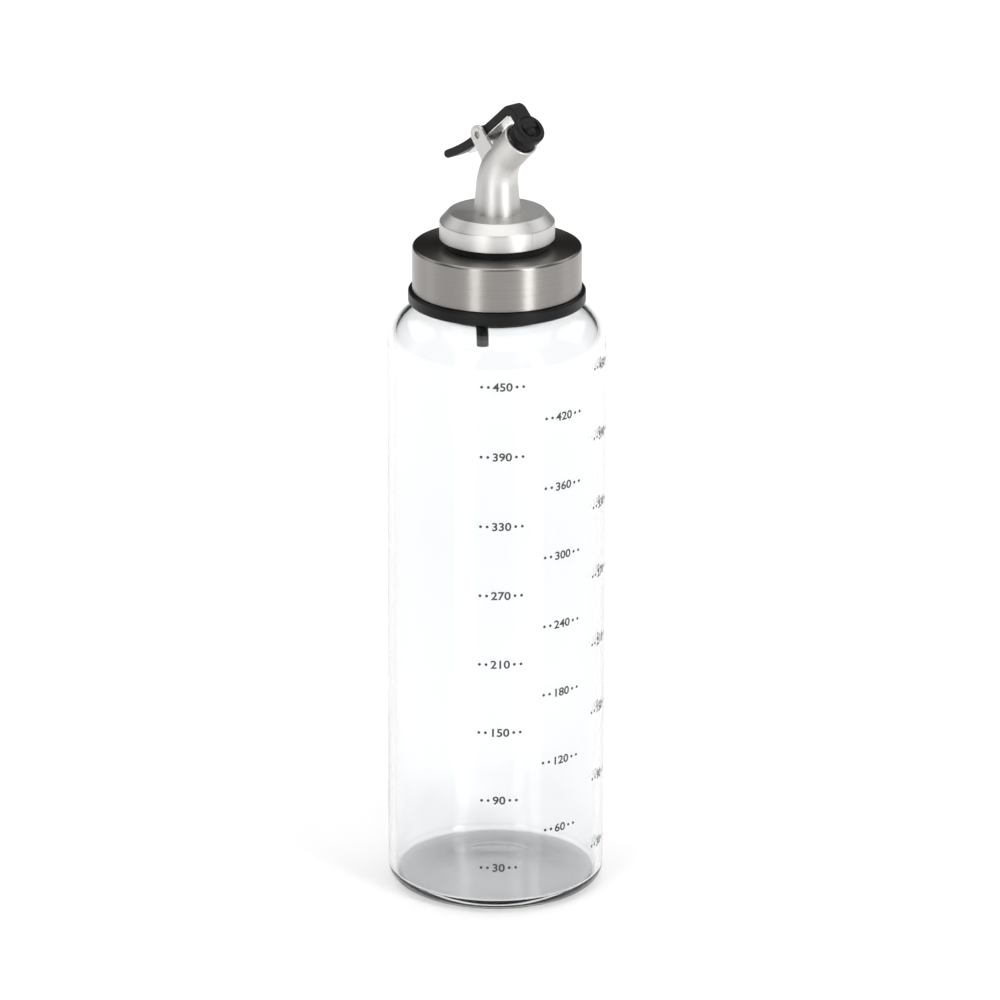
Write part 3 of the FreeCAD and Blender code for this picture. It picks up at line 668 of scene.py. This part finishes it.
class MakeCollar(bpy.types.Operator):
    """Turn the skirted collar, its stem and the vent tube"""

    bl_idname = "oil_bottle.collar"
    bl_label = "Collar and Vent"

    def execute(self, context):
        _, p, finish = settings(context.scene)
        satin = satin_metal("Satin silver collar", finish.satin, 0.42)
        out_r, stem_low = COLLAR_BOX[1].x, COLLAR_BOX[0].z
        skirt_z = SHELL_BOX[1].z + p.skirt_gap
        ceiling = COLLAR_TOP - p.collar_plate
        recess_r = CORK_BOX[1].x + p.skirt_fit
        profile = [(p.socket_r, ceiling), (p.stem_in, ceiling), (p.stem_in, stem_low),
                   (p.stem_r, stem_low), (p.stem_r, ceiling), (recess_r, ceiling), (recess_r, skirt_z),
                   (out_r, skirt_z), (out_r, skirt_z + p.skirt_h), (p.collar_top_r, COLLAR_TOP),
                   (p.socket_r, COLLAR_TOP)]
        bm = shell_of(profile, 160)
        soften(bm, 0.00022, 3, 30.0)
        finished("collar", bm, satin, "pourer", ["base_collar"], sharp=60)
        # the seam's satin is darkened to 0.45 of the collar's colour: painted shade along the ridge
        seam_painted_shade = satin_metal("Mould seam painted shade", shade(finish.satin, 0.45), 0.5)
        finished("collar_seam", self.seam(p, skirt_z, out_r), seam_painted_shade, "pourer", sharp=20)
        tube_r, middle = (VENT_BOX[1].x - VENT_BOX[0].x) / 2, (VENT_BOX[0] + VENT_BOX[1]) / 2
        low, high = VENT_BOX[0].z, VENT_BOX[1].z
        bore = tube_r - p.vent_wall
        profile = [(bore, low), (tube_r, low), (tube_r, high), (bore, high)]
        bm = shell_of(profile, 48)
        soften(bm, 0.0001, 2)
        tube = moulded("Vent plastic", finish.black, 0.4, 2000.0, 0.00001)
        finished("vent_pipe", bm, tube, "pourer", ["vent_tube"],
                 place=Matrix.Translation((middle.x, middle.y, 0)))
        return {"FINISHED"}

    def seam(self, p, low, out_r):
        """Fine ridge that the mould left up the skirt and the chamfer."""
        proud, sunk, half_turn, bearing = 0.00001, 0.00005, radians(0.18), radians(-6)
        start, short, edge = 0.0004, 0.0002, low + p.skirt_h - 0.0001
        line = [(out_r, low + start), (out_r, edge), (p.collar_top_r + short, COLLAR_TOP - short)]
        bm = bmesh.new()
        verts = [bm.verts.new((r + proud, 0, z)) for r, z in line]
        verts += [bm.verts.new((r - sunk, 0, z - sunk)) for r, z in line[::-1]]
        face = bm.faces.new(verts)
        start_turn = Matrix.Rotation(bearing - half_turn, 3, "Z")
        bmesh.ops.rotate(bm, verts=verts, cent=(0, 0, 0), matrix=start_turn)
        wind(bm, face, 2 * half_turn, 1)
        return bm


def spout_station(p, distance):
    """Point and direction on the spout's centre-line, from the collar's top."""
    bend_length = p.spout_bend * p.spout_tilt
    middle = Vector((p.spout_bend, 0, COLLAR_TOP + p.spout_rise))
    if distance <= p.spout_rise:
        return Vector((0, 0, COLLAR_TOP + distance)), UP.copy()
    if distance <= p.spout_rise + bend_length:
        angle = (distance - p.spout_rise) / p.spout_bend
        return middle + in_plane(pi - angle) * p.spout_bend, in_plane(pi / 2 - angle)
    axis = in_plane(pi / 2 - p.spout_tilt)
    end = middle + in_plane(pi - p.spout_tilt) * p.spout_bend
    return end + axis * (distance - p.spout_rise - bend_length), axis


def spout_length(p):
    return p.spout_rise + p.spout_bend * p.spout_tilt + p.spout_nose


def mouth(p):
    return spout_station(p, spout_length(p))


def bore_radius(p, distance):
    return p.bore_foot_r + (p.bore_mouth_r - p.bore_foot_r) * distance / spout_length(p)


def spout_radius(p, distance):
    """Outside radius, with a waist at the end of the bend."""
    waist = spout_length(p) - p.spout_nose
    if distance <= waist:
        wall = p.foot_wall + (p.waist_wall - p.foot_wall) * distance / waist
    else:
        wall = p.waist_wall + (p.mouth_wall - p.waist_wall) * (distance - waist) / p.spout_nose
    return bore_radius(p, distance) + wall


class MakeSpout(bpy.types.Operator):
    """Draw the bent spout and its two ears, with the pin between them"""

    bl_idname = "oil_bottle.spout"
    bl_label = "Spout"

    def execute(self, context):
        _, p, finish = settings(context.scene)
        satin = satin_metal("Satin silver spout", finish.satin, 0.47)
        finished("spout_tube", self.tube(p), satin, "pourer", ["spout"], sharp=60)
        for name, side in (("ear_right", -1), ("ear_left", 1)):
            bm = self.ear(p, side * (p.ear_spread - p.ear_wall / 2))
            finished(name, bm, satin, "pourer", sharp=60)
        half = PIN_BOX[1].y
        bm = shell_of([(0, -half), (PIN_R, -half), (PIN_R, half), (0, half)], 40, closed=False)
        soften(bm, 0.00015, 2)
        # darkened pin colour: painted shade on the pin's end inside the ear hole
        steel = satin_metal("Pin steel with painted shade", finish.pin, 0.35)
        finished("lever_pin", bm, steel, "pourer", ["pivot_pin"], place=ON_PIN)
        return {"FINISHED"}

    def tube(self, p):
        """Outside up to the mouth, round its lip and down the bore."""
        total = spout_length(p)
        lip = p.mouth_wall / 2
        steps = 40
        spigot_r, spigot_end = p.bore_foot_r + p.spigot_wall, -p.spigot_h
        rings = [(spigot_end, spigot_r), (0.0, spigot_r), (0.0, spout_radius(p, 0.0))]
        rings += [(total * i / steps, spout_radius(p, total * i / steps)) for i in range(1, steps)]
        rings += [(total - lip + lip * sin(a), p.bore_mouth_r + lip + lip * cos(a))
                  for a in (radians(18 * k) for k in range(11))]
        rings += [(total * i / steps, bore_radius(p, total * i / steps)) for i in range(steps - 1, -1, -1)]
        rings += [(spigot_end, p.bore_foot_r)]
        bm = bmesh.new()
        before, loop = None, None
        for distance, radius in rings:
            if distance < 0:
                at, axis = Vector((0, 0, COLLAR_TOP + distance)), UP.copy()
            else:
                at, axis = spout_station(p, distance)
            here = facing(at, axis) @ Matrix.Diagonal((radius, radius, 1, 1))
            if loop is None:
                made = bmesh.ops.create_circle(bm, cap_ends=False, segments=72, radius=1.0, matrix=here)
                loop = list({e for v in made["verts"] for e in v.link_edges})
                first = loop
            else:
                made = bmesh.ops.extrude_edge_only(bm, edges=loop)["geom"]
                verts = [g for g in made if isinstance(g, bmesh.types.BMVert)]
                loop = [g for g in made if isinstance(g, bmesh.types.BMEdge)]
                bmesh.ops.transform(bm, matrix=here @ before.inverted(), verts=verts)
            before = here
        bmesh.ops.bridge_loops(bm, edges=first + loop)
        bmesh.ops.recalc_face_normals(bm, faces=bm.faces)
        return bm

    def ear(self, p, y):
        """Flat ear with a round top about the pin, its sides running down into the tube."""
        front, back = -p.ear_front, -p.ear_back
        points = []
        turn_from, turn_to = back - pi / 2, front + pi / 2 - 2 * pi
        count = 24
        for i in range(count + 1):
            points.append(PIN_AT + in_plane(turn_from + (turn_to - turn_from) * i / count) * p.ear_r)
        points.append(points[-1] + in_plane(front) * p.ear_reach)
        points.append(points[0] + in_plane(back) * p.ear_reach)
        bm = bmesh.new()
        outer = [bm.verts.new((q.x, 0, q.z)) for q in points]
        edges = [bm.edges.new(pair) for pair in zip(outer, outer[1:] + outer[:1])]
        hole_r = PIN_R + 0.8 * FIT
        place = Matrix.Translation((PIN_AT.x, 0, PIN_AT.z)) @ Matrix.Rotation(pi / 2, 4, "X")
        made = bmesh.ops.create_circle(bm, cap_ends=False, segments=len(outer), radius=hole_r, matrix=place)
        hole = list({e for v in made["verts"] for e in v.link_edges})
        bmesh.ops.triangle_fill(bm, edges=edges + hole, use_beauty=True)
        grow(bm, bm.faces[:], (0, p.ear_wall, 0))
        soften(bm, 0.00018, 3, 50.0)
        bmesh.ops.translate(bm, verts=bm.verts, vec=(0, y - p.ear_wall / 2, 0))
        return bm


def arm_frame(p):
    """Directions along the arm and up from it."""
    return in_plane(p.lever_slope), in_plane(p.lever_slope + pi / 2)


def on_head(p, offset, point):
    """Where a line along the arm, offset from the pin, meets the plane of the head at a point."""
    along, up = arm_frame(p)
    _, axis = mouth(p)
    start = PIN_AT + up * offset
    return start + along * ((point - start).dot(axis) / along.dot(axis))


def slab(points, width):
    """Plate of a flat outline in the XZ plane, centred on Y."""
    bm = bmesh.new()
    face = bm.faces.new([bm.verts.new((q.x, -width / 2, q.z)) for q in points])
    grow(bm, [face], (0, width, 0))
    return bm


class MakeLever(bpy.types.Operator):
    """Mould the lever: tail, hub, arm, elbow and round head"""

    bl_idname = "oil_bottle.lever"
    bl_label = "Lever"

    def execute(self, context):
        _, p, finish = settings(context.scene)
        plastic = moulded("Charcoal plastic", finish.charcoal, 0.36, 2400.0, 0.00001)
        bm = slab(self.outline(p), p.lever_w)
        soften(bm, 0.0005, 4, 40.0)
        finished("lever_arm", bm, plastic, "lever", ["lever"], sharp=50)
        half = p.lever_w / 2
        hub = [(p.hub_bore_r, -half), (p.hub_r, -half), (p.hub_r, half), (p.hub_bore_r, half)]
        bm = shell_of(hub, 48)
        soften(bm, 0.0002, 2)
        finished("lever_hub", bm, plastic, "lever", place=ON_PIN)
        at, axis = mouth(p)
        t, floor = p.lever_t, p.lever_t - p.recess
        corner, lip, brow = 0.0003, 0.0004, 0.0007
        profile = [(p.shank_r, floor), (p.recess_r - corner, floor), (p.recess_r, floor + corner),
                   (p.recess_r, t - lip)]
        profile += arc(p.recess_r + lip, t - lip, lip, 180, 90, 5)
        profile += arc(p.head_r - brow, t - brow, brow, 90, 0, 6)
        profile += arc(p.head_r - lip, lip, lip, 0, -90, 4)
        profile += [(p.shank_r, 0.0)]
        bm = shell_of(profile, 72)
        finished("lever_head", bm, plastic, "lever",
                 place=facing(at + axis * p.head_gap, axis))
        return {"FINISHED"}

    def outline(self, p):
        """Side view of the tail, arm, elbow and the flat that carries the head."""
        along, up = arm_frame(p)
        at, axis = mouth(p)
        back = at + axis * p.head_gap
        face = back + axis * p.lever_t
        down = in_plane(-p.spout_tilt)
        half, tip, tail, bend = p.lever_t / 2, p.tail_tip, p.tail, p.elbow_bend
        centre = PIN_AT + up * p.tail_bend

        def beside(distance, offset):
            angle = p.lever_slope + pi / 2 - distance / p.tail_bend
            return centre - in_plane(angle) * (p.tail_bend - offset)

        steps = 14
        points = []
        for i in range(steps + 1):
            share = i / steps
            points.append(beside(tail * share, -(half + (tip - half) * share)))
        slope = p.lever_slope - tail / p.tail_bend
        for a in (45, 90, 135):
            points.append(beside(tail, 0) + in_plane(slope - pi / 2 - radians(a)) * tip)
        for i in range(steps, -1, -1):
            share = i / steps
            points.append(beside(tail * share, half + (tip - half) * share))
        corner = on_head(p, half, face)
        for i in range(11):
            k = radians(9 * i)
            points.append(corner + down * bend * (1 - cos(k)) - along * bend * (1 - sin(k)))
        points += [face, back]
        inner, fillet = on_head(p, -half, back), 0.0008
        a, b = inner + down * fillet, inner - along * fillet
        for i in range(5):
            k = i / 4
            points.append(a.lerp(inner, k).lerp(inner.lerp(b, k), k))
        return points


class MakePlug(bpy.types.Operator):
    """Mould the ribbed plug that closes the mouth"""

    bl_idname = "oil_bottle.plug"
    bl_label = "Stopper Plug"

    def execute(self, context):
        _, p, finish = settings(context.scene)
        rubber = moulded("Plug rubber", finish.black, 0.38, 2000.0, 0.00001, 0.1)
        at, axis = mouth(p)
        floor_z = p.head_gap + p.lever_t - p.recess
        core, bend, nose = p.plug_core_r, p.plug_bend, p.plug_nose
        profile = [(0.0, -nose), (core - 0.0014, -nose), (core - 0.0011, -nose + 0.0001), (core, 0.00015)]
        pitch = (p.head_gap - FIT) / p.plug_ribs
        for i in range(p.plug_ribs):
            middle = 0.0002 + pitch * (i + 0.33)
            profile += arc(p.plug_r - bend, middle, bend, -80, 80, 6)
            profile += [(core, middle + pitch * 0.5)] if i < p.plug_ribs - 1 else []
        profile += [(core, p.head_gap - FIT), (p.shank_r, p.head_gap - 0.8 * FIT), (p.shank_r, floor_z)]
        rim_z = floor_z + 0.0002
        profile += [(p.button_r, floor_z + FIT)]
        for k in range(9):
            a = radians(10 * k)
            profile.append((p.button_r * cos(a), rim_z + p.button_h * sin(a)))
        profile += [(0.0, rim_z + p.button_h)]
        bm = shell_of(profile, 64, closed=False)
        finished("mouth_plug", bm, rubber, "lever", ["stopper_plug"], sharp=50,
                 place=facing(at, axis))
        return {"FINISHED"}


class MakeSpring(bpy.types.Operator):
    """Bend the leaf spring under the lever and its tongue"""

    bl_idname = "oil_bottle.spring"
    bl_label = "Leaf Spring"

    def execute(self, context):
        _, p, finish = settings(context.scene)
        steel = satin_metal("Spring strip", finish.spring, 0.28)
        along, up = arm_frame(p)
        at, axis = mouth(p)
        thick, short_of_head, clear = p.leaf_t, 0.0007, 0.0004
        top = -p.lever_t / 2 - FIT - thick / 2
        hub = p.hub_r + FIT + thick / 2
        reach = (on_head(p, top, at + axis * p.head_gap) - PIN_AT).dot(along) - short_of_head
        swing = acos(-top / hub)
        line = [PIN_AT + along * reach + up * top, PIN_AT + along * (hub * sin(swing) + clear) + up * top]
        down = p.lever_slope - pi / 2
        for i in range(9):
            line.append(PIN_AT + in_plane(down + swing * (1 - 2 * i / 8) * 0.92) * hub)
        low = top - p.leaf_drop
        for back in (hub * sin(swing) + 0.0005, p.leaf_tail):
            line.append(PIN_AT - along * back + up * low)
        finished("leaf_spring", self.strip(line, thick, p.leaf_w), steel, "lever", ["lever_spring"],
                 sharp=50)

        touch_share = 0.4  # where the tongue meets the bend
        touch = p.spout_rise + touch_share * p.spout_bend * p.spout_tilt
        at, axis = spout_station(p, touch)
        radius = spout_radius(p, touch)
        tip = at + Vector((-axis.z, 0, axis.x)) * (radius + thick / 2 + FIT)
        root = PIN_AT + in_plane(radians(-100)) * hub
        bulge = (root + tip) / 2 - Vector((p.tongue_bow, 0, 0))
        line = []
        for i in range(13):
            k = i / 12
            line.append(root.lerp(bulge, k).lerp(bulge.lerp(tip, k), k))
        bm = self.strip(line, thick * 0.9, p.tongue_w)
        tongue = smooth_piece("spring_tongue", bm, steel, 50)
        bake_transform(tongue)
        return {"FINISHED"}

    def strip(self, line, thick, width):
        """Flat strip along a line of points in the XZ plane."""
        sides = []
        for i, q in enumerate(line):
            a, b = line[max(i - 1, 0)], line[min(i + 1, len(line) - 1)]
            run = (b - a).normalized()
            sides.append(Vector((-run.z, 0, run.x)) * (thick / 2))
        points = [q + n for q, n in zip(line, sides)] + [q - n for q, n in zip(line, sides)][::-1]
        bm = slab(points, width)
        soften(bm, thick * 0.2, 1, 60.0)
        return bm


# --- stage ------------------------------------------------------------------------------------


class MakeStage(bpy.types.Operator):
    """Lay the pale floor, hang the soft lights and place the camera"""

    bl_idname = "oil_bottle.stage"
    bl_label = "Stage"

    azimuth: turn("Azimuth", "Camera's bearing, 0 looking along +Y", 47.0)
    elevation: turn("Elevation", "Camera's height above the horizon", 18.98)
    front_fill: number("Front fill", "Glow of the room before the bottle", 0.36)
    floor_glow: number("Floor glow", "Light from the lit table", 0.68)
    # lower glow of the floor round the bottle: painted shade under and beside it
    near_glow: number("Near glow", "Light from the table under the bottle", 0.38)
    horizon_glow: number("Horizon glow", "Glow of the low backdrop", 0.55)
    ceiling_light: number("Ceiling light", "Even light from above", 1.5)
    rear_fill: number("Rear fill", "Glow of the room behind the bottle", 0.3)

    def execute(self, context):
        self.floor()
        self.world(context)
        self.lights()
        self.camera(context)
        return {"FINISHED"}

    def floor(self):
        bm = bmesh.new()
        bmesh.ops.create_grid(bm, x_segments=1, y_segments=1, size=6.0,
                              matrix=Matrix.Translation((0, 0, -0.0001)))
        mesh = bpy.data.meshes.new("floor")
        bm.to_mesh(mesh)
        bm.free()
        made, tree, bsdf = new_material("Pale floor")
        away = node(tree, "ShaderNodeVectorMath", operation="LENGTH")
        tree.links.new(object_point(tree), away.inputs[0])
        # the floor glows less within 0.3 m of the bottle: painted shade round its foot
        glow = ramp(tree, away.outputs["Value"], self.near_glow, self.floor_glow, 0.30, 1.0)
        feed(tree, bsdf, {"Emission Strength": glow, "Emission Color": (1.0, 0.995, 0.995, 1),
                          "Base Color": (0.80, 0.79, 0.79, 1), "Roughness": 0.12})
        mesh.materials.append(made)
        placed("floor", mesh)

    def world(self, context):
        world = bpy.data.worlds.new("Studio")
        world.use_nodes = True
        tree = world.node_tree
        background = tree.nodes["Background"]
        point = node(tree, "ShaderNodeTexCoord").outputs["Generated"]
        toward = node(tree, "ShaderNodeVectorMath", operation="DOT_PRODUCT")
        tree.links.new(point, toward.inputs[0])
        toward.inputs[1].default_value = self.back(0.0)
        split = node(tree, "ShaderNodeSeparateXYZ")
        tree.links.new(point, split.inputs[0])
        room = ramp(tree, toward.outputs["Value"], self.rear_fill, self.front_fill, -0.6, 0.6)
        horizon = ramp(tree, split.outputs["Z"], self.horizon_glow, 0.0, 0.02, 0.12)
        tree.links.new(math_node(tree, "ADD", room, horizon), background.inputs["Strength"])
        context.scene.world = world
        context.scene.view_settings.view_transform = "Standard"

    def back(self, rise, bearing=0.0):
        """Direction from the bottle, at a height angle and a bearing from the camera's side."""
        a = self.azimuth + bearing
        return Vector((sin(a) * cos(rise), -cos(a) * cos(rise), sin(rise)))

    def lights(self):
        for name, bearing, rise, away, wide, tall, power in SOFTBOXES:
            back = self.back(radians(rise), radians(bearing))
            lamp = bpy.data.lights.new(name, "AREA")
            lamp.shape, lamp.size, lamp.size_y, lamp.energy = "RECTANGLE", wide, tall, power
            holder = placed(name, lamp)
            holder.location = Vector((0, 0, 0.12)) + back * away
            holder.rotation_mode = "QUATERNION"
            holder.rotation_quaternion = back.to_track_quat("Z", "Y")
        ceiling = bpy.data.lights.new("bright ceiling", "SUN")
        ceiling.energy, ceiling.angle = self.ceiling_light, radians(70)
        placed("bright ceiling", ceiling).location = (0, 0, 2)

    def camera(self, context):
        right = Vector((cos(self.azimuth), sin(self.azimuth), 0))
        back = self.back(self.elevation)
        data = bpy.data.cameras.new("camera")
        data.sensor_width, data.lens = 36.0, 256.6
        data.clip_start, data.clip_end = 0.05, 20.0
        holder = placed("camera", data)
        holder.rotation_mode = "QUATERNION"
        level = back.to_track_quat("Z", "Y")
        holder.rotation_quaternion = Matrix.Rotation(radians(0.15), 3, back).to_quaternion() @ level
        target = right * 0.00104 + Vector((0, 0, 0.1182))
        holder.location = target + back * 2.094
        context.scene.camera = holder


class OilBottlePanel(bpy.types.Panel):
    """Buttons for the bottle's pieces and its stage"""

    bl_idname = "VIEW3D_PT_oil_bottle"
    bl_label = "Oil Bottle"
    bl_space_type = "VIEW_3D"
    bl_region_type = "UI"
    bl_category = "Oil Bottle"

    def draw(self, context):
        scene = context.scene
        for group in settings(scene):
            box = self.layout.box()
            for key in group.__annotations__:
                box.prop(group, key)
        for operator in OPERATORS:
            self.layout.operator(operator.bl_idname)


GROUPS = (BottleSizes, PourerSizes, Finishes)
OPERATORS = (MakeGlass, PrintScale, MakeCap, MakeCork, MakeCollar, MakeSpout, MakeLever, MakePlug,
             MakeSpring, MakeStage)


def register():
    for item in (*GROUPS, *OPERATORS, OilBottlePanel):
        bpy.utils.register_class(item)
    bpy.types.Scene.oil_bottle_sizes = PointerProperty(type=BottleSizes)
    bpy.types.Scene.oil_pourer_sizes = PointerProperty(type=PourerSizes)
    bpy.types.Scene.oil_finishes = PointerProperty(type=Finishes)


def unregister():
    del bpy.types.Scene.oil_finishes
    del bpy.types.Scene.oil_pourer_sizes
    del bpy.types.Scene.oil_bottle_sizes
    for item in (OilBottlePanel, *OPERATORS[::-1], *GROUPS[::-1]):
        bpy.utils.unregister_class(item)


def main():
    register()
    for operator in OPERATORS:
        getattr(bpy.ops.oil_bottle, operator.bl_idname.split(".")[1])()


if __name__ == "__main__":
    main()
